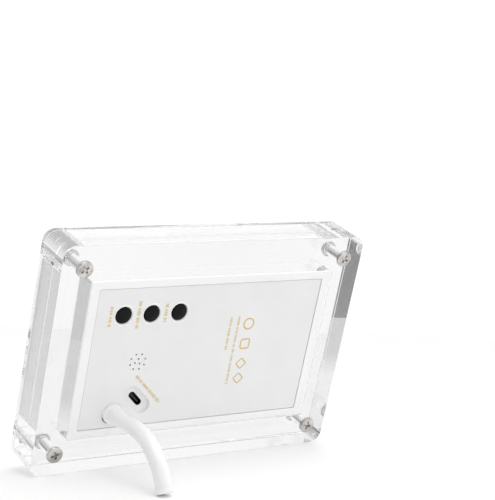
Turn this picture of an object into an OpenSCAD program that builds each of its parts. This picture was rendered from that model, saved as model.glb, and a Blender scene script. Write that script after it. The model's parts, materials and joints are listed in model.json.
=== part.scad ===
// Clear acrylic digital photo frame, leaning back on its lower rear edge and a curved leg.
// Every piece is drawn in the panel frame: x to the right seen from behind, y up the panel,
// z straight out of the back, with z = 0 on the acrylic's back face at the panel's centre.
// stand() then leans the panel back and sets it on the ground.

/* [Acrylic] */
// Width of the acrylic
block_w = 165; // [158:1:180]
// Height of the acrylic
block_h = 114; // [110:1:124]
// Radius of the acrylic's four corners
block_r = 6; // [4:0.5:10]
// Thickness of the front plate
plate_t = 3; // [2:0.5:4]
// Thickness of the rear block
body_t = 19; // [18.5:0.5:22]

/* [Binding posts] */
// Distance of each post from the edges
post_inset = 11; // [9:0.5:13]
// Diameter of the post and screw heads
head_d = 8.1; // [7.5:0.1:9]
// Thickness of the heads
head_t = 1.4; // [1:0.1:2]
// Diameter of the post's barrel
barrel_d = 5; // [4.8:0.1:5.4]
// Diameter of the screw's shank
screw_d = 4; // [3.5:0.1:4]

/* [Display module] */
// Width of the white module
module_w = 133; // [130:1:136]
// Height of the white module
module_h = 79; // [78.5:0.5:80]
// Radius of the module's corners
module_r = 1; // [0.6:0.1:2]
// Wall of the case
case_wall = 1.2; // [1:0.05:1.25]
// Width of the inset cover
cover_w = 123; // [120:1:126]
// Height of the inset cover
cover_h = 71; // [68:1:73]
// Radius of the corners of the cover's seat
cover_r = 0.6; // [0.4:0.1:1.5]
// How far the cover lies below the rim
cover_inset = 0.3; // [0.2:0.1:0.6]
// Thickness of the cover
cover_t = 1.6; // [1.4:0.1:1.6]

/* [Screen] */
// Width of the liquid crystal panel
lcd_w = 120.7; // [118:0.1:121]
// Height of the liquid crystal panel
lcd_h = 75.8; // [74:0.1:75.8]
// Width of the picture area
view_w = 110; // [106:1:112]
// Height of the picture area
view_h = 67; // [64:1:68]

/* [Buttons] */
// Diameter of the button caps
button_d = 7.8; // [7.4:0.1:8.6]
// Distance between the buttons
button_pitch = 14.7; // [14:0.1:16]
// Height of the buttons above the panel's centre
button_y = 22.1; // [20:0.1:24]
// How far a button travels
button_travel = 0.7; // [0.3:0.1:0.8]

/* [Charging inlet] */
// Angle of the inlet's long side
port_turn = -45; // [-60:5:-30]
// Length of the recess round the inlet
port_recess_l = 17.5; // [16:0.5:18]
// Width of the recess round the inlet
port_recess_w = 8.4; // [8:0.2:9]

/* [Leg] */
// Diameter of the leg past its first stretch
leg_d = 7.7; // [7.2:0.1:8]
// Diameter of the leg where it leaves the bush
leg_root_d = 7.5; // [7.1:0.1:7.7]
// How far the leg's first stretch points up from the panel's normal
leg_rise = 10; // [5:1:15]
// Length of the leg's straight first stretch
leg_straight = 21; // [16:0.5:24]
// Radius of the leg's bend
leg_bend_r = 32; // [28:1:36]
// Angle that the leg bends through
leg_bend = 64; // [58:1:72]
// Length of the foot
foot_l = 3; // [2:0.5:4]
// Length of the leg's peg in the bush
peg_l = 8.6; // [7:0.1:8.6]
// Outer diameter of the bush that the leg plugs into
bush_d = 10.6; // [10.6:0.1:11]

/* [Hidden] */
$fn = 64;

total_t = plate_t + body_t;
bit = 1;                         // how far a cutter runs past a face
slack = 0.1;                     // gap between pieces that are put together
run_gap = 0.05;                  // radial clearance of a turning or sliding fit

// Heights in the module, all measured along z from the acrylic's back face
cover_top = -cover_inset;
cover_low = cover_top - cover_t;
ledge_low = cover_low - 1.2;
tape_t = 0.15;                   // the tape that bonds the bezel to the front plate
tape_rim = 5;
bezel_t = 1.2;
case_front = -body_t + bezel_t;
cavity_r = 0.4;                  // radius of the case's inner corners
gasket_t = 0.4;
glass_t = 1.2;
light_t = 1.4;
tray_t = 0.4;
glass_top = case_front + gasket_t + glass_t;
light_top = glass_top + light_t;
tray_top = light_top + tray_t;
board_t = 1.2;
board_top = -8;
board_low = board_top - board_t;

// Posts
post_x = block_w / 2 - post_inset;
post_y = block_h / 2 - post_inset;
post_spots = [for (sx = [-1, 1], sy = [-1, 1]) [sx * post_x, sy * post_y]];
post_hole_d = barrel_d + 0.2;
barrel_end = -1;                 // the barrel stops just short of the back face
screw_l = 11;
recess_arm = 4.2;                // length of the cross recess
recess_w = 1.1;

// Buttons, seen from behind: outer on the left, inner towards the middle
button_x = [-47.2, -47.2 + button_pitch, -47.2 + 2 * button_pitch];
collar_d = button_d + 3.2;
collar_h = 0.5;
cap_skirt_d = button_d + 2;
cap_skirt_top = cover_low - 0.05;
cap_skirt_low = cap_skirt_top - 0.95;
cap_edge = 0;                    // height of the cap's edge above the back face
dome_h = 0.6;
dome_r = (dome_h * dome_h + button_d * button_d / 4) / (2 * dome_h);
switch_side = 6;
switch_top = board_top + 3.5;
plunger_d = 3.4;
plunger_low = switch_top - 1.5;

// Speaker
speaker_x = -35.4;
speaker_y = -2.1;
speaker_d = 17;
speaker_top = -3.4;
speaker_low = -7.4;
hole_d = 1;
magnet_d = 9.8;

// Charging inlet
port_x = -32.3;
port_y = -22.2;
recess_floor = -2;
cup_low = -3.4;
shell_l = 8.94;
shell_w = 3.16;
shell_wall = 0.3;
shell_top = -2.2;

// Leg socket, bush and leg
leg_x = -44.4;
leg_y = -28;
boss_d = bush_d + 2.6;
bush_low = -11.3;
boss_low = -12.6;
bush_stem_d = 4.1;
peg_d = 7;
leg_flange_d = 9.8;
leg_flange_t = 1.4;
notch_turn = 225;
notch_span = 52;
ring_wire = 1.4;                 // thickness of the rubber ring
foot_round = 1.2;
leg_fall = leg_bend - leg_rise;  // direction of the leg's end, below the panel's normal
leg_top = cover_top + 0.75;      // where the leg's first stretch starts
bend_start = [leg_y + leg_straight * sin(leg_rise), leg_top + leg_straight * cos(leg_rise)];
bend_centre = bend_start + leg_bend_r * [-cos(leg_rise), sin(leg_rise)];
bend_end = bend_centre + leg_bend_r * [cos(leg_fall), sin(leg_fall)];
foot_end = bend_end + foot_l * [-sin(leg_fall), cos(leg_fall)];

// The lean at which the foot and the lower rear edge both touch the ground
function foot_support(lean) = (leg_d / 2 - foot_round) * cos(leg_fall + lean)
  + foot_round * (1 - sin(leg_fall + lean));
function lean_for(rise, reach, lean, tries) = tries == 0 ? lean
  : lean_for(rise, reach,
      atan2(rise, reach) - asin(foot_support(lean) / norm([rise, reach])), tries - 1);
lean = lean_for(foot_end[0] + block_h / 2, foot_end[1], 17, 6);

// Rearmost point of the leg's foot and foremost point of the front plate, along the ground
foot_back = foot_end[1] * cos(lean) + (foot_end[0] + block_h / 2) * sin(lean)
  - foot_round * cos(leg_fall + lean)
  + (leg_d / 2 - foot_round) * sin(leg_fall + lean) + foot_round;
plate_front = -total_t * cos(lean);
ground_shift = -(foot_back + plate_front) / 2;

battery_x = 34;
battery_w = 54;
battery_h = 60;
battery_low = tray_top + 0.5;
battery_top = battery_low + 5.2;

module stand() {
  translate([0, ground_shift, 0])
    rotate([-lean, 0, 0])
      translate([0, 0, block_h / 2])
        rotate([90, 0, 180])
          children();
}

// A rectangle with true round corners, centred
module round_rect(w, h, r) {
  square([w - 2 * r, h], center = true);
  square([w, h - 2 * r], center = true);
  for (sx = [-1, 1], sy = [-1, 1])
    translate([sx * (w / 2 - r), sy * (h / 2 - r)]) circle(r);
}

// A slab with round corners, from height low to height top
module slab(w, h, r, low, top) {
  translate([0, 0, low]) linear_extrude(top - low) round_rect(w, h, r);
}

// A slot shape with half-round ends, centred, along x
module stadium(l, w) {
  square([l - w, w], center = true);
  for (sx = [-1, 1]) translate([sx * (l - w) / 2, 0]) circle(w / 2);
}

module rod(d, low, top) {
  translate([0, 0, low]) cylinder(d = d, h = top - low);
}

module box(w, h, low, top) {
  translate([-w / 2, -h / 2, low]) cube([w, h, top - low]);
}

module at_posts() {
  for (spot = post_spots) translate([spot[0], spot[1], 0]) children();
}

module at_port() {
  translate([port_x, port_y, 0]) rotate([0, 0, port_turn]) children();
}

module at_leg() {
  translate([leg_x, leg_y, 0]) children();
}

module at_speaker() {
  translate([speaker_x, speaker_y, 0]) children();
}

// A square wire along a route of points, each straight stretch along x, y or z
module wire(route, d) {
  for (i = [0 : len(route) - 2]) {
    run = route[i + 1] - route[i];
    translate(route[i] + run / 2)
      cube([abs(run[0]) + d, abs(run[1]) + d, abs(run[2]) + d], center = true);
  }
}

// ---- Acrylic ----

module front_plate() {
  color([0.92, 0.94, 0.94, 0.3]) stand()
    difference() {
      slab(block_w, block_h, block_r, -total_t, -body_t);
      at_posts() rod(post_hole_d, -total_t - bit, -body_t + bit);
    }
}

module rear_block() {
  color([0.92, 0.94, 0.94, 0.3]) stand()
    difference() {
      slab(block_w, block_h, block_r, -body_t, 0);
      slab(module_w + 2 * slack, module_h + 2 * slack, module_r, -body_t - bit, bit);
      at_posts() rod(post_hole_d, -body_t - bit, bit);
    }
}

module binding_posts() {
  color("silver") stand()
    at_posts() difference() {
      union() {
        rod(head_d, -total_t - head_t, -total_t);
        rod(barrel_d, -total_t, barrel_end);
      }
      rod(screw_d + slack, -screw_l - bit, barrel_end + bit);
    }
}

module cross_recess(top) {
  for (turn = [0, 90]) rotate([0, 0, turn + 20]) {
    box(recess_arm, recess_w, top - 0.6, top + bit);
    box(recess_arm / 2, recess_w, top - 1.1, top + bit);
  }
}

module binding_screws() {
  color("silver") stand()
    at_posts() difference() {
      union() {
        rod(head_d, 0, head_t);
        rod(screw_d, -screw_l, 0);
      }
      cross_recess(head_t);
    }
}

// ---- Display module ----

module bezel_tape() {
  color("gainsboro") stand()
    difference() {
      slab(module_w - 2, module_h - 2, cavity_r, -body_t, -body_t + tape_t);
      slab(view_w + tape_rim, view_h + tape_rim, 1, -body_t - bit, bit);
    }
}

module front_bezel() {
  color("white") stand()
    difference() {
      slab(module_w, module_h, module_r, -body_t + tape_t, case_front);
      slab(view_w, view_h, 1, -body_t - bit, case_front + bit);
    }
}

module rear_case() {
  color("white") stand()
    difference() {
      slab(module_w, module_h, module_r, case_front, 0);
      slab(module_w - 2 * case_wall, module_h - 2 * case_wall,
           cavity_r, case_front - bit, ledge_low);
      slab(cover_w, cover_h, cover_r, cover_low, bit);
      slab(cover_w - 6, cover_h - 6, 2, ledge_low - bit, bit);
      at_leg() rod(boss_d + 0.4, ledge_low - bit, bit);
    }
}

// A catch under the cover's edge that holds it behind the case's ledge
module cover_catch() {
  reach = 0.8;
  box(6, 1.2, ledge_low - 0.7, cover_low);
  translate([0, reach / 2, 0]) box(6, 1.2 + reach, ledge_low - 0.7, ledge_low - slack);
}

module cover_catches() {
  in_x = cover_w / 2 - 3 - slack - 0.6;
  in_y = cover_h / 2 - 3 - slack - 0.6;
  for (x = [5, 45]) {
    translate([x, in_y, 0]) cover_catch();
    translate([x, -in_y, 0]) rotate([0, 0, 180]) cover_catch();
  }
  translate([in_x, 0, 0]) rotate([0, 0, -90]) cover_catch();
  translate([-in_x, 14, 0]) rotate([0, 0, 90]) cover_catch();
}

board_screw_spots = [[-55.5, 29.5], [-8, 29.5], [-8, -29.5], [-55.5, -15]];

module speaker_holes() {
  for (i = [0 : 7]) rotate([0, 0, 45 * i + 20]) translate([4, 0, 0])
    rod(hole_d, cover_low - bit, bit);
  for (i = [0 : 2]) rotate([0, 0, 120 * i + 80]) translate([1.5, 0, 0])
    rod(hole_d, cover_low - bit, bit);
}

module back_cover() {
  color("white") stand()
    difference() {
      union() {
        slab(cover_w - 5 * slack, cover_h - 5 * slack, cover_r - 2 * slack, cover_low, cover_top);
        for (x = button_x) translate([x, button_y, 0])
          rod(collar_d, cover_low, cover_top + collar_h);
        at_port() translate([0, 0, cup_low])
          linear_extrude(cover_top - cup_low) stadium(port_recess_l + 2, port_recess_w + 2);
        at_leg() rod(boss_d, boss_low, cover_top);
        for (spot = board_screw_spots) translate([spot[0], spot[1], 0])
          rod(5, board_top, cover_low);
        cover_catches();
      }
      for (x = button_x) translate([x, button_y, 0])
        rod(button_d + 0.6, cover_low - bit, bit);
      at_speaker() speaker_holes();
      at_port() {
        translate([0, 0, recess_floor])
          linear_extrude(bit - recess_floor) stadium(port_recess_l, port_recess_w);
        translate([0, 0, cup_low - bit])
          linear_extrude(bit * 2 - cup_low) stadium(shell_l + 0.2, shell_w + 0.2);
      }
      at_leg() {
        rod(bush_d + 2 * run_gap, bush_low - slack, bit);
        rod(bush_stem_d + 2 * run_gap, boss_low - bit, 0);
      }
      for (spot = board_screw_spots) translate([spot[0], spot[1], 0])
        rod(1.8, board_top - bit, cover_low - 1);
    }
}

// ---- Screen ----

module lcd_gasket() {
  color("dimgray") stand()
    difference() {
      slab(lcd_w, lcd_h, 0.5, case_front, case_front + gasket_t);
      slab(view_w + 2, view_h + 2, 0.5, case_front - bit, bit);
    }
}

module lcd_panel() {
  color([0.1, 0.1, 0.12]) stand()
    box(lcd_w, lcd_h, case_front + gasket_t, glass_top);
}

module lcd_backlight() {
  color("ghostwhite") stand() box(lcd_w, lcd_h, glass_top, light_top);
}

module lcd_tray() {
  wall = 0.25;
  color("silver") stand()
    difference() {
      box(lcd_w + 2 * (wall + run_gap), lcd_h + 2 * (wall + run_gap),
          case_front + gasket_t, tray_top);
      box(lcd_w + 2 * run_gap, lcd_h + 2 * run_gap, case_front, light_top);
      // slot that lets the ribbon out on the left
      translate([-lcd_w / 2, 0, 0]) box(4, 22, case_front, glass_top - 0.2);
    }
}

flex_w = 20;
flex_t = 0.25;
flex_out = -63.6;                // the ribbon's furthest point to the left
flex_low = case_front + gasket_t + 0.3;
connector_x = -52;

// The ribbon leaves the glass, turns up beside the tray and runs in under the board
module lcd_flex() {
  bend = 1.5;
  over = board_low - 0.75;
  color("orange") stand()
    translate([0, flex_w / 2, 0]) rotate([90, 0, 0]) linear_extrude(flex_w) {
      translate([flex_out + bend, flex_low])
        square([-lcd_w / 2 - flex_out - bend, flex_t]);
      translate([flex_out, flex_low + bend])
        square([flex_t, over - flex_low - 2 * bend]);
      translate([flex_out + bend, over - flex_t])
        square([connector_x - 2 - flex_out - bend, flex_t]);
      translate([flex_out + bend, flex_low + bend]) corner_arc(bend, 180);
      translate([flex_out + bend, over - bend]) corner_arc(bend, 90);
    }
}

// A quarter of a ring, starting at an angle
module corner_arc(r, start) {
  intersection() {
    difference() {
      circle(r);
      circle(r - flex_t);
    }
    rotate([0, 0, start]) square(r + bit);
  }
}

module lcd_connector() {
  color("ivory") stand()
    translate([connector_x, 0, 0]) difference() {
      box(5, flex_w + 3, board_low - 1.4, board_low);
      translate([-2.5, 0, 0]) box(1.6, flex_w + 0.4, board_low - 1.1, board_low - 0.5);
    }
}

// ---- Board ----

module main_board() {
  board_w = 58;
  board_h = 70;
  color("darkgreen") stand()
    difference() {
      translate([-33, 0, 0]) slab(board_w, board_h, 1, board_low, board_top);
      at_leg() rod(boss_d + 1, board_low - bit, 0);
      for (spot = board_screw_spots) translate([spot[0], spot[1], 0])
        rod(2.2, board_low - bit, 0);
    }
}

module processor_chip() {
  color([0.1, 0.1, 0.1]) stand()
    translate([-28, 8, 0]) box(12, 12, board_low - 1.1, board_low);
}

module memory_chips() {
  color([0.1, 0.1, 0.1]) stand()
    for (y = [-8, -20]) translate([-22, y, 0]) box(10, 8, board_low - 1, board_low);
}

module power_inductor() {
  color("dimgray") stand()
    translate([-10, -19, 0]) {
      box(6, 6, board_top, board_top + 0.8);
      rod(5.4, board_top + 0.8, board_top + 2.6);
    }
}

module board_screws() {
  color("silver") stand()
    for (spot = board_screw_spots) translate([spot[0], spot[1], 0]) difference() {
      union() {
        rod(3.6, board_low - 1.2, board_low);
        rod(1.7, board_low, board_top + 4.5);
      }
      for (turn = [0, 90]) rotate([0, 0, turn])
        box(2, 0.5, board_low - 1.2 - bit, board_low - 0.7);
    }
}

module usb_c_shell() {
  color("silver") stand()
    at_port() difference() {
      translate([0, 0, board_top]) linear_extrude(shell_top - board_top)
        stadium(shell_l, shell_w);
      translate([0, 0, board_top + 1]) linear_extrude(shell_top - board_top)
        stadium(shell_l - 2 * shell_wall, shell_w - 2 * shell_wall);
    }
}

module usb_c_tongue() {
  color([0.1, 0.1, 0.1]) stand()
    at_port() {
      translate([0, 0, board_top + 1]) linear_extrude(0.8)
        stadium(shell_l - 2 * shell_wall, shell_w - 2 * shell_wall);
      box(6.6, 0.7, board_top + 1, shell_top - 0.9);
    }
}

// ---- Buttons ----

module tact_switches() {
  color([0.15, 0.15, 0.15]) stand()
    for (x = button_x) translate([x, button_y, 0]) difference() {
      box(switch_side, switch_side, board_top, switch_top);
      rod(plunger_d + 0.16, board_top + 0.8, switch_top + bit);
    }
}

module button_cap(x) {
  color([0.08, 0.08, 0.08]) stand()
    translate([x, button_y, 0]) {
      rod(cap_skirt_d, cap_skirt_low, cap_skirt_top);
      rod(button_d, cap_skirt_low, cap_edge);
      intersection() {
        rod(button_d, cap_edge - bit, cap_edge + dome_h);
        translate([0, 0, cap_edge + dome_h - dome_r]) sphere(dome_r);
      }
    }
}

module plunger(x) {
  color("ivory") stand()
    translate([x, button_y, 0]) rod(plunger_d, plunger_low, cap_skirt_low);
}

module outer_button() { button_cap(button_x[0]); }
module middle_button() { button_cap(button_x[1]); }
module inner_button() { button_cap(button_x[2]); }
module outer_plunger() { plunger(button_x[0]); }
module middle_plunger() { plunger(button_x[1]); }
module inner_plunger() { plunger(button_x[2]); }

// ---- Speaker ----

module speaker_frame() {
  color([0.15, 0.15, 0.15]) stand()
    at_speaker() difference() {
      rod(speaker_d, speaker_low, speaker_top);
      rod(speaker_d - 2, speaker_low + 2.4, speaker_top + bit);
      rod(magnet_d, speaker_low - bit, speaker_top);
    }
}

module speaker_magnet() {
  color("gray") stand() at_speaker() rod(magnet_d, speaker_low, speaker_low + 2);
}

module speaker_diaphragm() {
  color("dimgray") stand()
    at_speaker() {
      rod(speaker_d - 2.4, speaker_low + 2.4, speaker_low + 2.7);
      rod(7, speaker_low + 2.7, speaker_low + 3.2);
    }
}

module speaker_gasket() {
  color("black") stand()
    at_speaker() difference() {
      rod(speaker_d, speaker_top, cover_low);
      rod(speaker_d - 4, speaker_top - bit, 0);
    }
}

module speaker_mesh() {
  color([0.3, 0.3, 0.3]) stand()
    at_speaker() rod(speaker_d - 4.4, cover_low - 0.3, cover_low);
}

module speaker_leads() {
  side = speaker_x + speaker_d / 2;
  lead_d = 0.8;
  color("firebrick") stand()
    for (dy = [-0.75, 0.75]) wire([
      [side + lead_d / 2, speaker_y + dy, -6],
      [side + 9, speaker_y + dy, -6],
      [side + 9, speaker_y + dy, board_top + lead_d / 2]
    ], lead_d);
}

// ---- Battery ----

module battery_cell() {
  color("silver") stand()
    translate([battery_x, 0, 0]) slab(battery_w, battery_h, 1.5, battery_low, battery_top);
}

module battery_tape() {
  color("lightyellow") stand()
    translate([battery_x, 0, 0]) box(battery_w - 10, battery_h - 12, tray_top, battery_low);
}

battery_edge = battery_x - battery_w / 2;
plug_y = 13;                     // height of the battery's connector

module battery_leads() {
  mid = (battery_low + battery_top) / 2;
  lead_d = 1;
  color("red") stand()
    for (dy = [-1, 1]) wire([
      [battery_edge - lead_d / 2, plug_y + dy, mid],
      [battery_edge - 4, plug_y + dy, mid],
      [battery_edge - 4, plug_y + dy, -6.3],
      [battery_edge - 13 + lead_d / 2, plug_y + dy, -6.3]
    ], lead_d);
}

module battery_connector() {
  color("ivory") stand()
    translate([battery_edge - 16, plug_y, 0]) box(6, 7, board_top, board_top + 3.2);
}

// ---- Leg ----

module leg_bush() {
  color("whitesmoke") stand()
    at_leg() difference() {
      union() {
        rod(bush_d, bush_low, cover_top);
        rod(bush_stem_d, boss_low - slack, bush_low);
      }
      rod(peg_d + 2 * run_gap, cover_top - peg_l - 0.4, bit);
      rod(1.9, boss_low - bit, bush_low + 1);
      rotate([0, 0, notch_turn]) notch(leg_flange_d / 2);
    }
}

// A dark gap in the bush's face, along its edge
module notch(inner) {
  outer = bush_d;
  translate([0, 0, cover_top - 2]) linear_extrude(2 + bit) difference() {
    polygon([[0, 0], outer * [cos(notch_span / 2), -sin(notch_span / 2)],
             outer * [cos(notch_span / 2), sin(notch_span / 2)]]);
    circle(inner);
  }
}

module bush_screw() {
  low = boss_low - slack;
  color("silver") stand()
    at_leg() difference() {
      union() {
        rod(6, low - 1.1, low);
        rod(1.8, low, bush_low + 0.9);
      }
      for (turn = [0, 90]) rotate([0, 0, turn]) box(3, 0.6, low - 1.1 - bit, low - 0.6);
    }
}

// Places a shape on the leg's plane, where x is up the panel and y is out of the back
module leg_plane() {
  translate([leg_x, 0, 0]) rotate([90, 0, 90]) children();
}

module stand_leg() {
  groove_z = cover_top - peg_l / 2;
  color("white") stand() difference() {
    union() {
      at_leg() rod(peg_d, cover_top - peg_l, cover_top + run_gap);
      at_leg() rod(leg_flange_d, cover_top + run_gap, cover_top + leg_flange_t);
      leg_plane() {
        translate([leg_y, leg_top]) rotate([-90, 0, -leg_rise]) {
          cylinder(d1 = leg_root_d, d2 = leg_d, h = leg_straight);
          cylinder(d = leg_d - 2, h = leg_straight + 1.5);
        }
        translate(bend_centre) rotate([0, 0, -leg_rise])
          rotate_extrude(angle = leg_bend) translate([leg_bend_r, 0]) circle(d = leg_d);
      }
    }
    at_leg() difference() {
      rod(peg_d + bit, groove_z - ring_wire / 2, groove_z + ring_wire / 2);
      rod(peg_d - 2 * ring_wire + 0.1, groove_z - ring_wire, groove_z + ring_wire);
    }
  }
}

module leg_grip_ring() {
  groove_z = cover_top - peg_l / 2;
  color("black") stand()
    at_leg() translate([0, 0, groove_z])
      rotate_extrude() translate([peg_d / 2 + run_gap / 2 - (ring_wire - 0.1) / 2, 0])
        circle(d = ring_wire - 0.1);
}

module leg_foot() {
  color("whitesmoke") stand()
    leg_plane() translate(bend_end) rotate([-90, 0, leg_fall])
      rotate_extrude() {
        square([leg_d / 2 - foot_round, foot_l]);
        square([leg_d / 2, foot_l - foot_round]);
        translate([leg_d / 2 - foot_round, foot_l - foot_round]) circle(foot_round);
      }
}

front_plate();
rear_block();
binding_posts();
binding_screws();
bezel_tape();
front_bezel();
rear_case();
back_cover();
lcd_gasket();
lcd_panel();
lcd_backlight();
lcd_tray();
lcd_flex();
lcd_connector();
main_board();
processor_chip();
memory_chips();
power_inductor();
board_screws();
usb_c_shell();
usb_c_tongue();
tact_switches();
outer_button();
middle_button();
inner_button();
outer_plunger();
middle_plunger();
inner_plunger();
speaker_frame();
speaker_magnet();
speaker_diaphragm();
speaker_gasket();
speaker_mesh();
speaker_leads();
battery_cell();
battery_tape();
battery_leads();
battery_connector();
leg_bush();
bush_screw();
stand_leg();
leg_grip_ring();
leg_foot();
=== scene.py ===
"""A clear acrylic digital photo frame, leaning back on its lower rear edge and a curved leg.

Shapes are made in the panel frame, in millimetres: x to the right seen from behind, y up the
panel and z straight out of the back, with z = 0 on the acrylic's back face at its centre.
"""

import json
import math
import random

import bpy
from mathutils import Matrix, Vector
from mathutils.geometry import tessellate_polygon


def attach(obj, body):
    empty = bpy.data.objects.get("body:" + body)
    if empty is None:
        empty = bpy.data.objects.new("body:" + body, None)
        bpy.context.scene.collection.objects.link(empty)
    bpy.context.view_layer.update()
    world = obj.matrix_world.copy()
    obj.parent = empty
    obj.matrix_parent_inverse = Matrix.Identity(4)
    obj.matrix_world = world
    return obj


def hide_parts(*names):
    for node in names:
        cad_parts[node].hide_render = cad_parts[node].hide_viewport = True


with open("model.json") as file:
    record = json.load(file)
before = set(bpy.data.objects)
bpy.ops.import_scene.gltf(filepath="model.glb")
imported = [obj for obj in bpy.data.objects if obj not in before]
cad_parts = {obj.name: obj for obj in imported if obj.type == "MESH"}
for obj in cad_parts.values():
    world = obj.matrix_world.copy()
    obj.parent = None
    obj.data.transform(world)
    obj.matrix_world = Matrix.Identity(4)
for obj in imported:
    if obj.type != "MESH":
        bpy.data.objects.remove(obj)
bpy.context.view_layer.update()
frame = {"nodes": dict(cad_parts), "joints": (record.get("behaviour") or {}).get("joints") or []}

# ---- Sizes, in millimetres ----

MM = 0.001
BLOCK_W, BLOCK_H, BLOCK_R = 165, 114, 6
PLATE_T, BODY_T = 3, 19
TOTAL_T = PLATE_T + BODY_T
POST_INSET = 11
HEAD_R, HEAD_T, BARREL_R, SHANK_R, POST_HOLE_R = 4.05, 1.4, 2.5, 2, 2.6
BARREL_END, SCREW_END, BARREL_SLACK, BARREL_BEYOND = -1, -11, 0.05, 1
CROSS_ARM, CROSS_W, CROSS_DEPTH, CROSS_TAPER = 2.1, 1.1, 1, 0.12
SCREW_TURNS = (20, 38, -12, 62)         # how far each screw's cross is turned, in degrees
MODULE_W, MODULE_H, MODULE_R = 133, 79, 1
MODULE_SLACK, CASE_WALL, CAVITY_R, TAPE_T = 0.1, 1.2, 0.4, 0.15
CASE_FRONT = -BODY_T + 1.2
COVER_W, COVER_H, COVER_R = 123, 71, 0.6
COVER_GAP, COVER_CORNER_GAP = 0.25, 0.2
COVER_TOP, COVER_LOW, LEDGE_LOW, LEDGE, MOUTH_R = -0.3, -1.9, -3.1, 3, 2
VIEW_W, VIEW_H, VIEW_R = 110, 67, 1
BUTTON_X, BUTTON_Y, BUTTON_R = (-47.2, -32.5, -17.8), 22.1, 3.9
COLLAR_R, COLLAR_H, COLLAR_SLACK = 5.5, 0.5, 0.3
DOME_H, SKIRT_OUT, SKIRT_T, SKIRT_GAP = 0.6, 1, 0.95, 0.05
ROLL_IN, ROLL_UP = 0.35, 0.1            # the button's rolled edge, below its dome
SPEAKER = Vector((-35.4, -2.1))
SPEAKER_RINGS = ((8, 4, 20), (3, 1.5, 80))      # how many holes, how far out, first angle
SPEAKER_HOLE_R = 0.5
PORT, PORT_TURN = Vector((-32.3, -22.2)), math.radians(-45)
RECESS_L, RECESS_W, RECESS_FLOOR, CUP_LOW, CUP_WALL = 17.5, 8.4, -2, -3.4, 1
SLOT_L, SLOT_W = 9.14, 3.36
LEG = Vector((-44.4, -28))
SOCKET_R, SOCKET_FLOOR, BOSS_R, BOSS_LOW, STEM_R = 5.35, -11.4, 6.6, -12.6, 2.1
PEG_R, PEG_L, LEG_FLANGE_R, LEG_FLANGE_T = 3.5, 8.6, 4.9, 1.4
GROOVE_REACH, GROOVE_DEPTH, FLANGE_GAP = 0.7, 1.35, 0.05
LEG_ROOT_R, LEG_R, LEG_RISE, LEG_STRAIGHT = 3.75, 3.85, math.radians(10), 21
BEND_R, BEND, FOOT_L, FOOT_ROUND = 32, math.radians(64), 3, 1.2
BOARD_SCREWS = ((-55.5, 29.5), (-8, 29.5), (-8, -29.5), (-55.5, -15))
BOARD_POST_R, BOARD_POST_LOW = 2.5, -8

# Radii of the small rounded edges
EDGE, HOLE_EDGE = 0.35, 0.15            # polished edges of the acrylic and of its post holes
HEAD_EDGE, HEAD_SEAT, BARREL_EDGE, SCREW_TIP, CROSS_EDGE = 0.5, 0.12, 0.15, 0.3, 0.08
BEZEL_EDGE, CASE_EDGE, SEAT_EDGE, COVER_EDGE = 0.2, 0.9, 0.2, 0.22
SPEAKER_EDGE, RECESS_EDGE, RECESS_FOOT, SLOT_EDGE, SOCKET_EDGE = 0.08, 0.45, 0.6, 0.15, 0.2
SKIRT_EDGE, ROLL_EDGE, PEG_EDGE, FLANGE_EDGE = 0.1, 0.3, 0.4, 0.5

# ---- The panel's place in the row frame ----

leg_turn = {joint["name"]: joint for joint in frame["joints"]}["leg_turn"]
OUT = -Vector(leg_turn["axis"]).normalized()
RIGHT = Vector((-1, 0, 0))
UP = OUT.cross(RIGHT)
CENTRE = Vector(leg_turn["pos_m"]) - MM * (LEG.x * RIGHT + LEG.y * UP)
PANEL = Matrix([(*(MM * axis[i] for axis in (RIGHT, UP, OUT)), CENTRE[i]) for i in range(3)]
               + [(0, 0, 0, 1)])

# ---- Outlines: lists of (point, outward normal), anticlockwise seen from behind ----


def arc_outline(centre, radius, start, end, steps):
    """Points and normals along an arc, angles in radians."""
    made = []
    for i in range(steps + 1):
        angle = start + (end - start) * i / steps
        normal = Vector((math.cos(angle), math.sin(angle)))
        made.append((Vector(centre) + radius * normal, normal))
    return made


def round_rect(w, h, r, centre=(0, 0), steps=14):
    """A rectangle with rounded corners."""
    made = []
    for k, (sx, sy) in enumerate(((1, 1), (-1, 1), (-1, -1), (1, -1))):
        corner = (centre[0] + sx * (w / 2 - r), centre[1] + sy * (h / 2 - r))
        made += arc_outline(corner, r, k * math.pi / 2, (k + 1) * math.pi / 2, steps)
    return made


def circle(r, centre=(0, 0), steps=48):
    return arc_outline(centre, r, 0, math.tau, steps)[:-1]


def stadium(length, width, centre, turn, steps=20):
    """A slot shape with half-round ends."""
    along = Vector((math.cos(turn), math.sin(turn))) * (length - width) / 2
    made = []
    for side in (1, -1):
        start = turn + (0 if side == 1 else math.pi) - math.pi / 2
        made += arc_outline(Vector(centre) + side * along, width / 2, start, start + math.pi, steps)
    return made


def spread(outline, distance):
    """The same outline, moved outwards by a distance."""
    return [(point + distance * normal, normal) for point, normal in outline]


# ---- Profiles: lists of (offset, z, normal or None), the material on the left ----

CREASE = math.cos(math.radians(25))     # corners sharper than this stay sharp
SAME_POINT = 0.0001                     # profile points closer than this are one point
POLE = 1e-6                             # a ring narrower than this is one point


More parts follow.
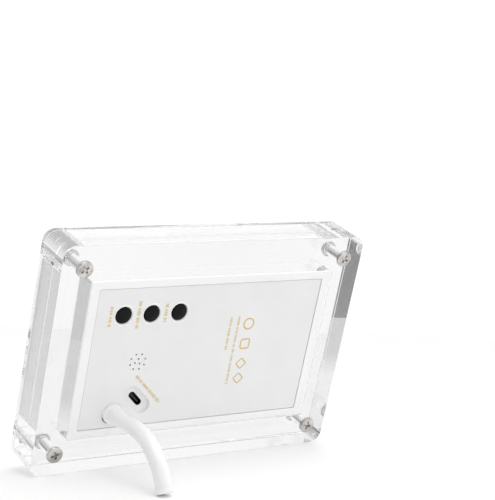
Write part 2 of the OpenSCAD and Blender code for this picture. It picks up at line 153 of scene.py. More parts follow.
def rounded(points, steps=6):
    """A profile from (offset, z, radius) points: each radius becomes an arc, with its normals."""
    made = []
    for i, (x, z, r) in enumerate(points):
        here = Vector((x, z))
        if not r:
            made.append((x, z, None))
            continue
        back = (Vector(points[i - 1][:2]) - here).normalized()
        on = (Vector(points[i + 1][:2]) - here).normalized()
        half = back.angle(on) / 2
        centre = here + (back + on).normalized() * r / math.sin(half)
        start, end = here + back * r / math.tan(half), here + on * r / math.tan(half)
        bulge = 1 if (-back).cross(on) > 0 else -1      # left turns bulge to the right
        for k in range(steps + 1):
            a, b = start - centre, end - centre
            swing = a.angle(b) * k / steps
            turn = math.copysign(swing, a.cross(b))
            arm = Matrix.Rotation(turn, 2) @ a
            made.append((*(centre + arm), arm.normalized() * bulge))
    apart = [made[0]]
    for place in made[1:]:
        if (Vector(place[:2]) - Vector(apart[-1][:2])).length > SAME_POINT:
            apart.append(place)
        elif place[2]:
            apart[-1] = place
    return apart


def soft_normal(given, flat, beside):
    """The normal at one side of a profile point: smooth unless the corner there is sharp."""
    if given:
        return given if given.dot(flat) > CREASE else flat
    return (flat + beside).normalized() if flat.dot(beside) > CREASE else flat


class Solid:
    """Points and faces of one piece, in the panel frame, with a normal at each face's corner."""

    def __init__(self):
        self.points, self.faces, self.normals = [], [], []

    def face(self, corners, normals):
        self.faces.append(corners)
        self.normals += normals

    def ring(self, outline, offset, z):
        """The outline at an offset and a height, as the indices of its points."""
        first = len(self.points)
        places = [point + normal * offset for point, normal in outline]
        if all((place - outline[0][0]).length < POLE for place in places):
            self.points.append(Vector((*outline[0][0], z)))
            return [first] * len(outline)
        self.points += [Vector((*place, z)) for place in places]
        return list(range(first, len(self.points)))

    def sweep(self, outline, profile, start=None, end=None):
        """A profile swept round an outline. start and end are rings already made, to join on to."""
        rings = [self.ring(outline, x, z) for x, z, _ in
                 profile[(start is not None):len(profile) - (end is not None)]]
        rings = ([start] if start else []) + rings + ([end] if end else [])
        count = len(outline)
        flats = [Vector((b[1] - a[1], a[0] - b[0])).normalized()
                 for a, b in zip(profile, profile[1:])]
        poles = [Vector((0, math.copysign(1, flat.y))) for flat in (flats[0], flats[-1])]
        given = [place[2] for place in profile]
        for ring, k, pole in ((rings[0], 0, poles[0]), (rings[-1], -1, poles[1])):
            if ring[0] == ring[1]:
                given[k] = pole
        for j, flat in enumerate(flats):
            low = soft_normal(given[j], flat, flats[j - 1] if j else flat)
            high = soft_normal(given[j + 1], flat, flats[j + 1] if j + 1 < len(flats) else flat)
            for i in range(count):
                k = (i + 1) % count
                corners = [rings[j][i], rings[j][k], rings[j + 1][k], rings[j + 1][i]]
                sides = [(outline[i][1], low), (outline[k][1], low),
                         (outline[k][1], high), (outline[i][1], high)]
                normals = [Vector((*(side * bend[0]), bend[1])) for side, bend in sides]
                keep = [c for c in range(4) if corners[c] != corners[c - 1]]
                if len(keep) > 2:
                    self.face([corners[c] for c in keep], [normals[c] for c in keep])
        return rings[0], rings[-1]

    def cap(self, rings, up):
        """A flat face between rings: the first is its edge, the others are holes in it."""
        flat = [index for ring in rings for index in ring]
        loops = [[Vector((*self.points[index][:2], 0)) for index in ring] for ring in rings]
        normal = Vector((0, 0, 1 if up else -1))
        for triangle in tessellate_polygon(loops):
            a, b, c = (self.points[flat[t]] for t in triangle)
            turned = (b - a).cross(c - a).z > 0
            order = triangle if turned == up else triangle[::-1]
            self.face([flat[t] for t in order], [normal] * 3)

    def slab(self, outline, low, high, holes=(), edge=0.0):
        """A slab with straight walls and holes through it, their edges rounded by edge."""
        wall = [(0, low, None), (0, high, None)]
        bore = [(0, high, None), (0, low, None)]
        if edge:
            wall = rounded([(-edge, low, 0), (0, low, edge), (0, high, edge), (-edge, high, 0)])
            bore = rounded([(edge, high, 0), (0, high, edge), (0, low, edge), (edge, low, 0)])
        foot, head = self.sweep(outline, wall)
        feet, heads = [foot], [head]
        for hole in holes:
            top, bottom = self.sweep(hole, bore)
            feet.append(bottom)
            heads.append(top)
        self.cap(feet, False)
        self.cap(heads, True)

    def tube(self, stations, steps=48):
        """A round tube along a path of stations: (centre, direction, radius, normal's tilt)."""
        rings = []
        for centre, along, radius, tilt in stations:
            side = Vector((1, 0, 0))
            across = along.cross(side).normalized()
            ring = []
            for i in range(steps):
                angle = math.tau * i / steps
                spoke = side * math.cos(angle) + across * math.sin(angle)
                ring.append((len(self.points), spoke * math.cos(tilt) + along * math.sin(tilt)))
                self.points.append(centre + spoke * radius)
            rings.append(ring)
        for low, high in zip(rings, rings[1:]):
            for i in range(steps):
                k = (i + 1) % steps
                corners = [low[i], low[k], high[k], high[i]]
                self.face([index for index, _ in corners], [normal for _, normal in corners])
        ends = ((rings[0], stations[0], -1), (rings[-1], stations[-1], 1))
        for ring, (_, along, _, _), order in ends:
            self.face([index for index, _ in ring][::order], [along * order] * steps)

    def turned(self, matrix):
        """Everything made so far, moved by a matrix in the panel frame."""
        self.points = [matrix @ point for point in self.points]
        self.normals = [matrix.to_3x3() @ normal for normal in self.normals]
        return self

    def add(self, other):
        first = len(self.points)
        self.points += other.points
        self.faces += [[first + index for index in face] for face in other.faces]
        self.normals += other.normals
        return self

    def piece(self, name, body, look, nodes=()):
        """Makes the Blender object, puts it on its body and hides the CAD nodes it stands for."""
        mesh = bpy.data.meshes.new(name)
        mesh.from_pydata([PANEL @ point for point in self.points], [], self.faces)
        spin = PANEL.to_3x3().normalized()
        mesh.shade_smooth()
        mesh.normals_split_custom_set([(spin @ normal).normalized() for normal in self.normals])
        mesh.materials.append(look)
        made = bpy.data.objects.new(name, mesh)
        bpy.context.scene.collection.objects.link(made)
        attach(made, body)
        if nodes:
            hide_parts(*nodes)
        return made


# ---- Materials ----


class Look:
    """A Principled material with its nodes at hand."""

    def __init__(self, name, **sockets):
        self.material = bpy.data.materials.new(name)
        self.material.use_nodes = True
        self.tree = self.material.node_tree
        self.shader = self.tree.nodes["Principled BSDF"]
        for socket, value in sockets.items():
            self.shader.inputs[socket.replace("_", " ")].default_value = value

    def node(self, kind, **settings):
        made = self.tree.nodes.new(kind)
        for key, value in settings.items():
            if key in made.inputs:
                made.inputs[key].default_value = value
            else:
                setattr(made, key, value)
        return made

    def link(self, source, target):
        self.tree.links.new(source, target)

    def noise(self, scale, detail=3.0):
        """Noise in the object's own space, scale in lumps to a metre."""
        made = self.node("ShaderNodeTexNoise", Scale=scale, Detail=detail)
        self.link(self.node("ShaderNodeTexCoord").outputs["Object"], made.inputs["Vector"])
        return made.outputs["Fac"]

    def colours(self, value, dark, light, low=0.3, high=0.7):
        """The base colour runs from dark to light as value goes from low to high."""
        ramp = self.node("ShaderNodeValToRGB")
        for element, place, colour in zip(ramp.color_ramp.elements, (low, high), (dark, light)):
            element.position = place
            element.color = (*colour, 1)
        self.link(value, ramp.inputs["Fac"])
        self.link(ramp.outputs["Color"], self.shader.inputs["Base Color"])

    def gloss(self, value, low, high):
        """Roughness from low to high with value."""
        spread_out = self.node("ShaderNodeMapRange")
        spread_out.inputs["To Min"].default_value = low
        spread_out.inputs["To Max"].default_value = high
        self.link(value, spread_out.inputs["Value"])
        self.link(spread_out.outputs["Result"], self.shader.inputs["Roughness"])

    def bump(self, value, depth, strength=1.0):
        """Relief of a depth in metres."""
        made = self.node("ShaderNodeBump", Strength=strength, Distance=depth)
        self.link(value, made.inputs["Height"])
        self.link(made.outputs["Normal"], self.shader.inputs["Normal"])


def moulded_plastic(name, dark, light, low, high, grain=0.000003, **sockets):
    """Moulded plastic: faint mottling, a fine spark-eroded grain and uneven gloss."""
    look = Look(name, **sockets)
    look.colours(look.noise(60), dark, light)
    look.gloss(look.noise(900, 2), low, high)
    look.bump(look.noise(4200, 2), grain, 0.5)
    return look.material


def clear_acrylic():
    """Cast acrylic: clear and polished, with a faintly uneven tint and gloss."""
    look = Look("clear_acrylic", Transmission_Weight=1.0, IOR=1.49)
    look.colours(look.noise(12, 1), (0.925, 0.925, 0.93), (0.945, 0.945, 0.947))
    look.gloss(look.noise(240, 2), 0.0, 0.012)
    return look.material


def stainless(name, dark=(0.36, 0.345, 0.33), light=(0.67, 0.65, 0.63), low=0.16, high=0.34):
    """Turned stainless steel: a fine relief, a faintly warm grey, painted reflections and duller
    patches.
    """
    look = Look(name, Metallic=1.0)
    # Large light and dark patches in the colour: painted reflections.
    look.colours(look.noise(300, 3), dark, light, 0.36, 0.64)
    look.gloss(look.noise(1500, 3), low, high)
    look.bump(look.noise(9000, 2), 0.000003, 0.4)
    return look.material


def gold_print():
    """Gold ink: a little metallic, with speckle where the ink is thin."""
    look = Look("gold_print", Metallic=0.35)
    look.colours(look.noise(5200, 3), (0.58, 0.40, 0.10), (0.74, 0.56, 0.23), 0.35, 0.6)
    look.gloss(look.noise(1800, 2), 0.35, 0.6)
    return look.material


def button_rubber():
    """Black button: silky, with a fine grain that catches a soft light."""
    look = Look("button_black", Specular_IOR_Level=0.12)
    look.colours(look.noise(500, 3), (0.003, 0.003, 0.003), (0.007, 0.007, 0.007))
    look.gloss(look.noise(1200, 2), 0.3, 0.45)
    look.bump(look.noise(5000, 3), 0.000003, 0.5)
    return look.material


def simple(name, dark, light, low, high, scale=400, metallic=0.0, relief=0.00001):
    """A plain material for an inner piece: mottled colour, uneven gloss and a fine relief."""
    look = Look(name, Metallic=metallic)
    look.colours(look.noise(scale), dark, light)
    look.gloss(look.noise(scale * 2, 2), low, high)
    look.bump(look.noise(scale * 8, 2), relief, 0.5)
    return look.material


acrylic = clear_acrylic()
steel = stainless("stainless")
bright_steel = stainless("bright_stainless", (0.78, 0.78, 0.77), (0.9, 0.9, 0.89), 0.25, 0.35)
case_white = moulded_plastic("case_white", (0.92, 0.92, 0.915), (0.95, 0.95, 0.945), 0.3, 0.42)
cover_white = moulded_plastic("cover_white", (0.83, 0.83, 0.83), (0.86, 0.86, 0.86), 0.45, 0.6)
leg_white = moulded_plastic("leg_white", (0.89, 0.89, 0.89), (0.92, 0.92, 0.92), 0.2, 0.28,
                            0.000001)
gold = gold_print()
black = button_rubber()

# ---- Acrylic ----

post_spots = [(sx * (BLOCK_W / 2 - POST_INSET), sy * (BLOCK_H / 2 - POST_INSET))
              for sx in (-1, 1) for sy in (-1, 1)]
AIR_FILM = 0.03                         # the thin air gap between the two layers


def post_holes():
    return [circle(POST_HOLE_R, spot) for spot in post_spots]


def front_plate():
    """The thin front layer, over the screen."""
    plate = Solid()
    plate.slab(round_rect(BLOCK_W, BLOCK_H, BLOCK_R), -TOTAL_T, -BODY_T - AIR_FILM, post_holes(),
               EDGE)
    plate.piece("front_plate_clear", "frame", acrylic, ["front_plate"])


def rear_block():
    """The thick rear layer, with its window for the module."""
    block = Solid()
    outer = round_rect(BLOCK_W, BLOCK_H, BLOCK_R)
    window = round_rect(MODULE_W + 2 * MODULE_SLACK, MODULE_H + 2 * MODULE_SLACK, MODULE_R)
    foot, head = block.sweep(outer, rounded(
        [(-EDGE, -BODY_T, 0), (0, -BODY_T, EDGE), (0, 0, EDGE), (-EDGE, 0, 0)]))
    rim, mouth = block.sweep(window, rounded(
        [(EDGE, 0, 0), (0, 0, EDGE), (0, -BODY_T, EDGE), (EDGE, -BODY_T, 0)]))
    feet, heads = [foot, mouth], [head, rim]
    for hole in post_holes():
        top, bottom = block.sweep(hole, rounded(
            [(HOLE_EDGE, 0, 0), (0, 0, HOLE_EDGE),
             (0, -BODY_T, HOLE_EDGE), (HOLE_EDGE, -BODY_T, 0)]))
        heads.append(top)
        feet.append(bottom)
    block.cap(feet, False)
    block.cap(heads, True)
    block.piece("rear_block_clear", "frame", acrylic, ["rear_block"])


# ---- Binding posts and their screws ----


def cross_outline(arm, width, corner=0.25):
    """A cross with rounded ends and inner corners."""
    made = []
    for k in range(4):
        turn = k * math.pi / 2
        spin = Matrix.Rotation(turn, 2)
        for corner_at, start in (((arm - corner, -width / 2 + corner), -math.pi / 2),
                                 ((arm - corner, width / 2 - corner), 0)):
            made += [(spin @ point, spin @ normal) for point, normal in
                     arc_outline(corner_at, corner, start, start + math.pi / 2, 4)]
        inner = Vector((width / 2, width / 2))
        made.append((spin @ inner, spin @ Vector((1, 1)).normalized()))
    return made


def binding_posts():
    """Barrels with flat heads on the front, bored from behind for their screws."""
    posts = Solid()
    low, bore, bore_end = -TOTAL_T - HEAD_T, SHANK_R + BARREL_SLACK, SCREW_END - BARREL_BEYOND
    for spot in post_spots:
        posts.sweep(circle(0, spot, 64), rounded(
            [(0, low, 0), (HEAD_R, low, HEAD_EDGE), (HEAD_R, -TOTAL_T, HEAD_SEAT),
             (BARREL_R, -TOTAL_T, 0), (BARREL_R, BARREL_END, BARREL_EDGE),
             (bore, BARREL_END, 0), (bore, bore_end, 0), (0, bore_end, 0)]))
    posts.piece("binding_post_set", "frame", bright_steel, ["binding_posts"])


def binding_screws():
    """Flat heads with a cross recess that narrows as it goes down, each turned its own way."""
    screws = Solid()
    for spot, turn in zip(post_spots, SCREW_TURNS):
        screw = Solid()
        _, rim = screw.sweep(circle(0, steps=64), rounded(
            [(0, SCREW_END, 0), (SHANK_R, SCREW_END, SCREW_TIP), (SHANK_R, 0, 0),
             (HEAD_R, 0, HEAD_SEAT), (HEAD_R, HEAD_T, HEAD_EDGE), (HEAD_R - 1, HEAD_T, 0)]))
        mouth, bottom = screw.sweep(cross_outline(CROSS_ARM, CROSS_W), [
            (CROSS_EDGE, HEAD_T, None), (0, HEAD_T - CROSS_EDGE, None),
            (-CROSS_TAPER, HEAD_T - CROSS_DEPTH, None)])
        screw.cap([rim, mouth], True)
        screw.cap([bottom], True)
        place = Matrix.Translation((*spot, 0)) @ Matrix.Rotation(math.radians(turn), 4, "Z")
        screws.add(screw.turned(place))
    screws.piece("binding_screw_set", "frame", steel, ["binding_screws"])


# ---- Display module ----


def front_bezel():
    """The white border round the screen, taped to the front layer."""
    bezel = Solid()
    bezel.slab(round_rect(MODULE_W, MODULE_H, MODULE_R), -BODY_T + TAPE_T, CASE_FRONT - AIR_FILM,
               [round_rect(VIEW_W, VIEW_H, VIEW_R)], BEZEL_EDGE)
    bezel.piece("front_bezel_white", "frame", case_white, ["front_bezel"])


def rear_case():
    """The white case: its wall, its rim flush with the acrylic, and the ledge under the cover."""
    case = Solid()
    wall = round_rect(MODULE_W, MODULE_H, MODULE_R)
    cavity = round_rect(MODULE_W - 2 * CASE_WALL, MODULE_H - 2 * CASE_WALL, CAVITY_R)
    seat = round_rect(COVER_W, COVER_H, COVER_R)
    mouth = round_rect(COVER_W - 2 * LEDGE, COVER_H - 2 * LEDGE, MOUTH_R)
    wall_foot, wall_head = case.sweep(wall, rounded(
        [(0, CASE_FRONT, 0), (0, 0, CASE_EDGE), (-CASE_EDGE, 0, 0)], 8))
    seat_head, seat_foot = case.sweep(seat, rounded(
        [(SEAT_EDGE, 0, 0), (0, 0, SEAT_EDGE), (0, COVER_LOW, 0)]))
    mouth_head, mouth_foot = case.sweep(mouth, [(0, COVER_LOW, None), (0, LEDGE_LOW, None)])
    cavity_head, cavity_foot = case.sweep(cavity, [(0, LEDGE_LOW, None), (0, CASE_FRONT, None)])
    case.cap([wall_head, seat_head], True)
    case.cap([seat_foot, mouth_head], True)
    case.cap([cavity_head, mouth_foot], False)
    case.cap([wall_foot, cavity_foot], False)
    case.piece("rear_case_white", "frame", case_white, ["rear_case"])


def speaker_spots():
    made = []
    for count, reach, first in SPEAKER_RINGS:
        for i in range(count):
            angle = math.radians(360 / count * i + first)
            made.append(SPEAKER + reach * Vector((math.cos(angle), math.sin(angle))))
    return made


def back_cover():
    """The inset cover, with its button and speaker holes, the inlet's recess and the leg's boss."""
    cover = Solid()
    outer = round_rect(COVER_W - 2 * COVER_GAP, COVER_H - 2 * COVER_GAP, COVER_R - COVER_CORNER_GAP)
    foot, head = cover.sweep(outer, rounded(
        [(0, COVER_LOW, 0), (0, COVER_TOP, COVER_EDGE), (-COVER_EDGE, COVER_TOP, 0)]))
    feet, heads = [foot], [head]
    for x in BUTTON_X:
        head, foot = cover.sweep(circle(0, (x, BUTTON_Y), 64),
                                 [(COLLAR_R, COVER_TOP, None), (COLLAR_R, COVER_LOW, None)])
        heads.append(head)
        feet.append(foot)
    for spot in speaker_spots():
        head, foot = cover.sweep(circle(SPEAKER_HOLE_R, spot, 20), rounded(
            [(SPEAKER_EDGE, COVER_TOP, 0), (0, COVER_TOP, SPEAKER_EDGE), (0, COVER_LOW, 0)], 3))
        heads.append(head)
        feet.append(foot)

    recess = stadium(RECESS_L, RECESS_W, PORT, PORT_TURN)
    slot = stadium(SLOT_L, SLOT_W, PORT, PORT_TURN)
    recess_head, recess_foot = cover.sweep(recess, rounded(
        [(RECESS_EDGE + 0.05, COVER_TOP, 0), (0, COVER_TOP, RECESS_EDGE),
         (0, RECESS_FLOOR, RECESS_FOOT), (-RECESS_FOOT, RECESS_FLOOR, 0)]))
    slot_head, slot_foot = cover.sweep(slot, rounded(
        [(SLOT_EDGE, RECESS_FLOOR, 0), (0, RECESS_FLOOR, SLOT_EDGE), (0, CUP_LOW, 0)], 3))
    cup_foot, cup_head = cover.sweep(spread(recess, CUP_WALL),
                                     [(0, CUP_LOW, None), (0, COVER_LOW, None)])
    cover.cap([recess_foot, slot_head], True)
    cover.cap([cup_foot, slot_foot], False)
    heads.append(recess_head)
    feet.append(cup_head)

    leg_hole = circle(SOCKET_R, LEG, 64)
    hole_head, hole_foot = cover.sweep(leg_hole, rounded(
        [(SOCKET_EDGE, COVER_TOP, 0), (0, COVER_TOP, SOCKET_EDGE), (0, SOCKET_FLOOR, 0)]))
    stem_head, stem_foot = cover.sweep(circle(STEM_R, LEG, 64),
                                       [(0, SOCKET_FLOOR, None), (0, BOSS_LOW, None)])
    boss_foot, boss_head = cover.sweep(circle(BOSS_R, LEG, 64),
                                       [(0, BOSS_LOW, None), (0, COVER_LOW, None)])
    cover.cap([hole_foot, stem_head], True)
    cover.cap([boss_foot, stem_foot], False)
    heads.append(hole_head)
    feet.append(boss_head)

    for spot in BOARD_SCREWS:
        foot, head = cover.sweep(circle(BOARD_POST_R, spot, 32),
                                 [(0, BOARD_POST_LOW, None), (0, COVER_LOW, None)])
        cover.cap([foot], False)
        feet.append(head)
    cover.cap(feet, False)
    cover.cap(heads, True)
    cover.piece("back_cover_white", "frame", cover_white, ["back_cover"])


def button_collars():
    """The polished rims round the buttons, part of the cover, their colour painted brighter as a
    highlight.
    """
    collars = Solid()
    bore, outer, crest = BUTTON_R + COLLAR_SLACK, COLLAR_R - 0.02, COVER_TOP + COLLAR_H
    for x in BUTTON_X:
        collars.sweep(circle(0, (x, BUTTON_Y), 64), rounded(
            [(bore, COVER_LOW, 0), (outer, COVER_LOW, 0), (outer, COVER_TOP, 0),
             (COLLAR_R - 0.5, crest, 0.3), (bore + 0.5, crest - 0.15, 0.2),
             (bore, COVER_TOP - 0.1, 0.2), (bore, COVER_LOW + 0.1, 0), (bore, COVER_LOW, 0)]))
    # The case's white is glossier and lighter than the cover's white: the lighter colour is a
    # painted highlight.
    collars.piece("button_collars", "frame", case_white)


# ---- Buttons ----


def dome(radius, low, height, steps=12):
    """Profile points of a spherical cap, from its edge to its top."""
    ball = (height * height + radius * radius) / (2 * height)
    reach = math.asin(radius / ball)
    return [(ball * math.sin(reach * (1 - i / steps)),
             low + height - ball * (1 - math.cos(reach * (1 - i / steps))), None)
            for i in range(steps + 1)]


def button(node, body, x):
    """A domed cap with a rolled edge, over a skirt that keeps it in."""
    cap = Solid()
    skirt_top = COVER_LOW - SKIRT_GAP
    skirt_low, skirt_r = skirt_top - SKIRT_T, BUTTON_R + SKIRT_OUT
    side = rounded([(0, skirt_low, 0), (skirt_r, skirt_low, SKIRT_EDGE),
                    (skirt_r, skirt_top, SKIRT_EDGE), (BUTTON_R, skirt_top, 0),
                    (BUTTON_R, 0, ROLL_EDGE), (BUTTON_R - ROLL_IN, ROLL_UP, 0)])
    crown = dome(BUTTON_R - ROLL_IN, ROLL_UP, DOME_H - ROLL_UP)
    cap.sweep(circle(0, (x, BUTTON_Y), 64), side[:-1] + crown[:-1] + [(0, DOME_H, None)])
    cap.piece(node + "_cap", body, black, [node])


# ---- Leg ----

LEG_TOP = COVER_TOP + 0.75               # where the leg's spine starts, inside its flange
LEG_END = LEG_STRAIGHT + BEND_R * BEND
SEAM = 0.16                             # rounding on both sides of the seam above the foot


def leg_place(length):
    """Centre and direction of the leg's spine, at a length from its root."""
    if length <= LEG_STRAIGHT:
        along = Vector((0, math.sin(LEG_RISE), math.cos(LEG_RISE)))
        return Vector((LEG.x, LEG.y, LEG_TOP)) + along * length, along
    turned = min((length - LEG_STRAIGHT) / BEND_R, BEND)
    bend_start, first = leg_place(LEG_STRAIGHT)
    hub = bend_start + BEND_R * Vector((0, -first.z, first.y))
    angle = turned - LEG_RISE
    centre = hub + BEND_R * Vector((0, math.cos(angle), math.sin(angle)))
    along = Vector((0, -math.sin(angle), math.cos(angle)))
    return centre + along * max(length - LEG_STRAIGHT - BEND_R * BEND, 0), along


def leg_radius(length):
    return LEG_ROOT_R + (LEG_R - LEG_ROOT_R) * min(length / LEG_STRAIGHT, 1)


def edge_stations(length, radius, roll, turn, steps=5):
    """Stations that roll the tube's edge over: turn is 1 at its end and -1 at its start."""
    made = []
    for i in range(steps + 1):
        angle = math.pi / 2 * i / steps
        shift = roll * (math.sin(angle) - 1) * turn
        centre, along = leg_place(length + shift)
        made.append((centre, along, radius - roll * (1 - math.cos(angle)), turn * angle))
    return made[::turn]


def stand_leg():
    """The curved leg, with a flange at its root and a grooved peg in the bush."""
    leg = Solid()
    stations = []
    straight_steps, bend_steps = 8, 34
    for i in range(straight_steps + 1):
        length = LEG_STRAIGHT * i / straight_steps
        centre, along = leg_place(length)
        stations.append((centre, along, leg_radius(length), 0))
    for i in range(1, bend_steps):
        centre, along = leg_place(LEG_STRAIGHT + BEND_R * BEND * i / bend_steps)
        stations.append((centre, along, LEG_R, 0))
    stations += edge_stations(LEG_END, LEG_R, SEAM, 1)
    leg.tube(stations)
    low, top, seat = COVER_TOP - PEG_L, COVER_TOP + LEG_FLANGE_T, COVER_TOP + FLANGE_GAP
    groove, groove_r = COVER_TOP - PEG_L / 2, PEG_R - GROOVE_DEPTH
    leg.sweep(circle(0, LEG, 64), rounded([
        (0, low, 0), (PEG_R, low, PEG_EDGE),
        (PEG_R, groove - GROOVE_REACH, 0), (groove_r, groove - GROOVE_REACH, 0),
        (groove_r, groove + GROOVE_REACH, 0), (PEG_R, groove + GROOVE_REACH, 0),
        (PEG_R, seat, 0), (LEG_FLANGE_R, seat, 0), (LEG_FLANGE_R, top, FLANGE_EDGE), (0, top, 0)]))
    leg.piece("stand_leg_white", "leg", leg_white, ["stand_leg"])


def leg_foot():
    foot = Solid()
    stations = edge_stations(LEG_END, LEG_R, SEAM, -1)
    stations += edge_stations(LEG_END + FOOT_L, LEG_R, FOOT_ROUND, 1, 8)
    foot.tube(stations)
    foot.piece("leg_foot_cap", "leg", leg_white, ["leg_foot"])


# ---- Printed marks: generic dashes and shapes in gold ----

PRINT_LOW, PRINT_TOP = COVER_TOP - 0.01, COVER_TOP + 0.03
STROKE_W, STROKE_R, STROKE_STEPS, STROKE_HEIGHTS = 0.42, 0.1, (0.66, 0.72, 0.78), (0.72, 0.72, 1.0)
GROUP_GAP, GROUP_SIZE = 0.6, (3, 8)     # the gap before a group of strokes, and its least and most
LABEL_W, SMALL_W = 1.9, 1.5             # height of the strokes in labels and in the small lines
BUTTON_LABELS = ((-53.9, 10), (-39.4, 14), (-24.9, 10))         # place across, and length
PORT_LABEL, PORT_LABEL_REACH = Vector((-27.5, -16.7)), 10.7     # its middle, and half its length
SMALL_LINES = ((16.8, 18.2, -17.5), (12.4, 17.9, 0.5))          # place across, start and end
PORT_SEED, SMALL_SEEDS = 4, (5, 6)
MARK_X, RING_Y, SQUARE_Y, DIAMOND_Y = 23, 13.6, 3, (-7.5, -15.5)
RING_R, SQUARE, SQUARE_R, DIAMOND, DIAMOND_R = 3.1, 5.6, 1.4, 4.6, 0.9
MARK_LINE, DIAMOND_LINE = 0.7, 0.6


def dashes(prints, start, end, width, seed):
    """A line of small strokes across a strip, with gaps between groups of them."""
    dice = random.Random(seed)
    start, end = Vector(start), Vector(end)
    along = (end - start).normalized()
    angle = math.atan2(along.y, along.x)
    place, left = 0.0, 0
    while place < (end - start).length:
        if left == 0:
            place += GROUP_GAP
            left = dice.randint(*GROUP_SIZE)
        tall = width * dice.choice(STROKE_HEIGHTS)
        stroke = round_rect(STROKE_W, tall, STROKE_R, steps=3)
        spin = Matrix.Rotation(angle, 2)
        centre = start + along * place
        outline = [(spin @ point + centre, spin @ normal) for point, normal in stroke]
        prints.slab(outline, PRINT_LOW, PRINT_TOP)
        place += dice.choice(STROKE_STEPS)
        left -= 1


def diamond(side, centre):
    """A square stood on its corner."""
    spin = Matrix.Rotation(math.pi / 4, 2)
    return [(spin @ point + Vector(centre), spin @ normal)
            for point, normal in round_rect(side, side, DIAMOND_R, steps=6)]


def ring_print(prints, outline, line):
    """A thin printed line along an outline."""
    prints.slab(outline, PRINT_LOW, PRINT_TOP, [spread(outline, -line)])


def printed_marks():
    """Labels by the buttons and the inlet, two small lines, and a column of plain outlines."""
    prints = Solid()
    for seed, (x, length) in enumerate(BUTTON_LABELS):
        dashes(prints, (x, BUTTON_Y + length / 2), (x, BUTTON_Y - length / 2), LABEL_W, seed)
    reach = Vector((math.cos(PORT_TURN), math.sin(PORT_TURN))) * PORT_LABEL_REACH
    dashes(prints, PORT_LABEL - reach, PORT_LABEL + reach, LABEL_W, PORT_SEED)
    for seed, (x, start, end) in zip(SMALL_SEEDS, SMALL_LINES):
        dashes(prints, (x, start), (x, end), SMALL_W, seed)
    ring_print(prints, circle(RING_R, (MARK_X, RING_Y), 36), MARK_LINE)
    ring_print(prints, round_rect(SQUARE, SQUARE, SQUARE_R, (MARK_X, SQUARE_Y), 6), MARK_LINE)
    for y in DIAMOND_Y:
        ring_print(prints, diamond(DIAMOND, (MARK_X, y)), DIAMOND_LINE)
    prints.piece("printed_marks", "frame", gold)


# ---- Every piece ----

front_plate()
rear_block()
binding_posts()
binding_screws()
front_bezel()
rear_case()
back_cover()
button_collars()
for node, body, x in zip(("outer_button", "middle_button", "inner_button"),
                         ("outer_key", "middle_key", "inner_key"), BUTTON_X):
    button(node, body, x)
stand_leg()
leg_foot()
printed_marks()

# Looks of the CAD nodes that stay as they are
inner_looks = [
    (stainless("small_steel"), ["board_screws", "bush_screw", "speaker_magnet", "lcd_tray"]),
    # The inlet's steel shell is coloured near black: painted shade for its dark slot.
    (stainless("inlet_shell_painted_dark", (0.02, 0.02, 0.02), (0.045, 0.045, 0.045), 0.3, 0.45),
     ["usb_c_shell"]),
    (leg_white, ["leg_bush"]),
    (simple("ivory_plastic", (0.66, 0.61, 0.48), (0.76, 0.72, 0.6), 0.35, 0.5),
     ["outer_plunger", "middle_plunger", "inner_plunger", "lcd_connector",
     "battery_connector"]),
    (simple("black_plastic", (0.012, 0.012, 0.013), (0.03, 0.03, 0.03), 0.35, 0.55),
     ["tact_switches", "usb_c_tongue", "speaker_frame", "processor_chip", "memory_chips"]),
    (simple("screen_glass", (0.004, 0.004, 0.005), (0.008, 0.008, 0.01), 0.03, 0.08, 60,
     relief=0.000001), ["lcd_panel"]),
    (simple("light_guide", (0.8, 0.83, 0.84), (0.9, 0.92, 0.92), 0.1, 0.3),
     ["lcd_backlight"]),
    (simple("ribbon_film", (0.5, 0.22, 0.04), (0.66, 0.33, 0.08), 0.2, 0.35), ["lcd_flex"]),
    (simple("board_lacquer", (0.006, 0.09, 0.03), (0.015, 0.16, 0.06), 0.2, 0.4),
     ["main_board"]),
    (simple("ferrite", (0.06, 0.06, 0.065), (0.12, 0.12, 0.125), 0.5, 0.8),
     ["power_inductor"]),
    (simple("foam", (0.01, 0.01, 0.01), (0.035, 0.035, 0.035), 0.8, 1.0, 1500),
     ["lcd_gasket", "speaker_gasket"]),
    (simple("rubber", (0.012, 0.012, 0.012), (0.03, 0.03, 0.03), 0.45, 0.7),
     ["leg_grip_ring"]),
    (simple("speaker_cloth", (0.6, 0.6, 0.6), (0.75, 0.75, 0.75), 0.7, 0.9, 4000),
     ["speaker_mesh"]),
    (simple("cone_film", (0.1, 0.1, 0.1), (0.16, 0.16, 0.16), 0.4, 0.6),
     ["speaker_diaphragm"]),
    (simple("red_wire", (0.36, 0.012, 0.01), (0.5, 0.03, 0.02), 0.3, 0.45),
     ["speaker_leads", "battery_leads"]),
    (simple("battery_foil", (0.45, 0.45, 0.47), (0.62, 0.62, 0.64), 0.22, 0.4, metallic=0.9),
     ["battery_cell"]),
    (simple("tape", (0.55, 0.5, 0.36), (0.68, 0.62, 0.46), 0.6, 0.8), ["battery_tape"]),
    (simple("white_tape", (0.84, 0.84, 0.835), (0.88, 0.88, 0.875), 0.5, 0.65), ["bezel_tape"]),
]
for look, nodes in inner_looks:
    for node in nodes:
        slots = frame["nodes"][node].data.materials
        slots.clear()
        slots.append(look)

# ---- Floor, light and camera ----


FLOOR_R = 0.48                          # metres, as all places and sizes below
# FLOOR_SHADE is painted shade: a greyer zone of the floor that the acrylic reflects.
FLOOR_PALE, FLOOR_SHADE = 0.94, 0.62
SHADE_WAY, SHADE_START, SHADE_FULL = (0.85, -0.53, 0), 0.16, 0.25
SHADE_MOTTLE = 0.02


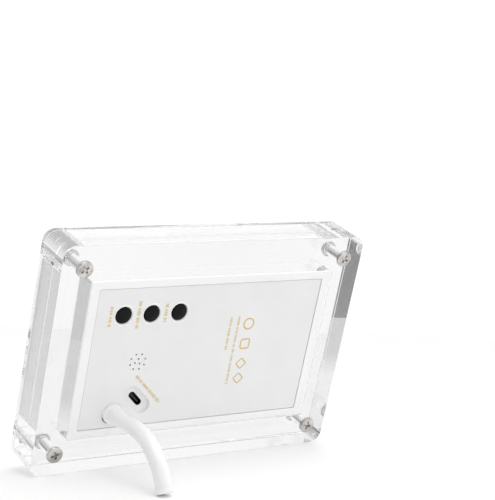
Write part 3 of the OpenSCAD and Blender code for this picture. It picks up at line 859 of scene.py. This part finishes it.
def floor():
    """A round, pale table top with painted shade: greyer in front of the frame's left side, for the
    acrylic to reflect.
    """
    radius, steps = FLOOR_R, 96
    mesh = bpy.data.meshes.new("floor")
    rim = [(radius * math.cos(math.tau * i / steps), radius * math.sin(math.tau * i / steps), 0)
           for i in range(steps)]
    mesh.from_pydata(rim, [], [list(range(steps))])
    look = Look("floor_white", Roughness=0.6)
    reach = look.node("ShaderNodeVectorMath", operation="DOT_PRODUCT")
    reach.inputs[1].default_value = SHADE_WAY
    look.link(look.node("ShaderNodeTexCoord").outputs["Object"], reach.inputs[0])
    mottled = look.node("ShaderNodeMath", operation="MULTIPLY_ADD")
    mottled.inputs[1].default_value = SHADE_MOTTLE
    look.link(look.noise(3), mottled.inputs[0])
    look.link(reach.outputs["Value"], mottled.inputs[2])
    look.colours(mottled.outputs["Value"], (FLOOR_PALE,) * 3, (FLOOR_SHADE,) * 3,
                 SHADE_START, SHADE_FULL)
    mesh.materials.append(look.material)
    made = bpy.data.objects.new("floor", mesh)
    bpy.context.scene.collection.objects.link(made)


def soft_light(name, place, aim, size, power):
    """A square soft box."""
    data = bpy.data.lights.new(name, "AREA")
    data.shape = "SQUARE"
    data.size = size
    data.energy = power
    made = bpy.data.objects.new(name, data)
    made.location = place
    made.rotation_euler = (Vector(aim) - Vector(place)).to_track_quat("-Z", "Y").to_euler()
    bpy.context.scene.collection.objects.link(made)


SIDES = (1.06, 0.5)                     # brightness toward -x and toward +x
SIDE_SPREAD = (-0.4, 0.75)              # how far toward +x it starts to change, and stops
GREY_CORNER = (0.695, -0.719, 0.02)     # the way to the darker corner
GREY_SPREAD = (math.cos(math.radians(15.5)), math.cos(math.radians(9)))
GREY = 0.34                             # its brightness, as a share of what is round it


def surroundings():
    """A white studio, greyer to one side, with one darker corner in front of the frame."""
    world = bpy.data.worlds.new("studio")
    world.use_nodes = True
    bpy.context.scene.world = world
    nodes, links = world.node_tree.nodes, world.node_tree.links
    toward = nodes.new("ShaderNodeTexCoord").outputs["Generated"]

    def along(direction, low, high, at_low, at_high):
        """A value that follows how far the view turns toward a direction."""
        dot = nodes.new("ShaderNodeVectorMath")
        dot.operation = "DOT_PRODUCT"
        dot.inputs[1].default_value = Vector(direction).normalized()
        links.new(toward, dot.inputs[0])
        scale = nodes.new("ShaderNodeMapRange")
        scale.interpolation_type = "SMOOTHSTEP"
        for name, value in (("From Min", low), ("From Max", high),
                            ("To Min", at_low), ("To Max", at_high)):
            scale.inputs[name].default_value = value
        links.new(dot.outputs["Value"], scale.inputs["Value"])
        return scale.outputs["Result"]

    # Sharp corners in what surrounds clear acrylic would show in it, so both changes are gradual.
    both = nodes.new("ShaderNodeMath")
    both.operation = "MULTIPLY"
    links.new(along((1, 0, 0), *SIDE_SPREAD, *SIDES), both.inputs[0])
    links.new(along(GREY_CORNER, *GREY_SPREAD, 1, GREY), both.inputs[1])
    nodes["Background"].inputs["Color"].default_value = (1, 1, 1, 1)
    links.new(both.outputs["Value"], nodes["Background"].inputs["Strength"])


floor()
surroundings()
soft_light("overhead", (0.1, 0.2, 1.2), (0, 0, 0.05), 1.0, 5.5)

CAMERA = Vector((0.3709, 0.5788, 0.1664))
TARGET = Vector((-0.0234, -0.0027, 0.1029))
ROLL = math.radians(1.446)
LENS = 105.66

camera = bpy.data.objects.new("camera", bpy.data.cameras.new("camera"))
camera.data.sensor_width = 36
camera.data.lens = LENS
camera.data.clip_start = 0.01
camera.location = CAMERA
look_at = (TARGET - CAMERA).to_track_quat("-Z", "Y")
camera.rotation_mode = "QUATERNION"
camera.rotation_quaternion = look_at @ Matrix.Rotation(ROLL, 4, "Z").to_quaternion()
bpy.context.scene.collection.objects.link(camera)
bpy.context.scene.camera = camera

scene = bpy.context.scene
scene.view_settings.view_transform = "Standard"
scene.cycles.use_denoising = True
scene.cycles.max_bounces = 160
scene.cycles.transmission_bounces = 160
scene.cycles.glossy_bounces = 160
scene.cycles.blur_glossy = 0            # plastic seen through the acrylic keeps its brightness
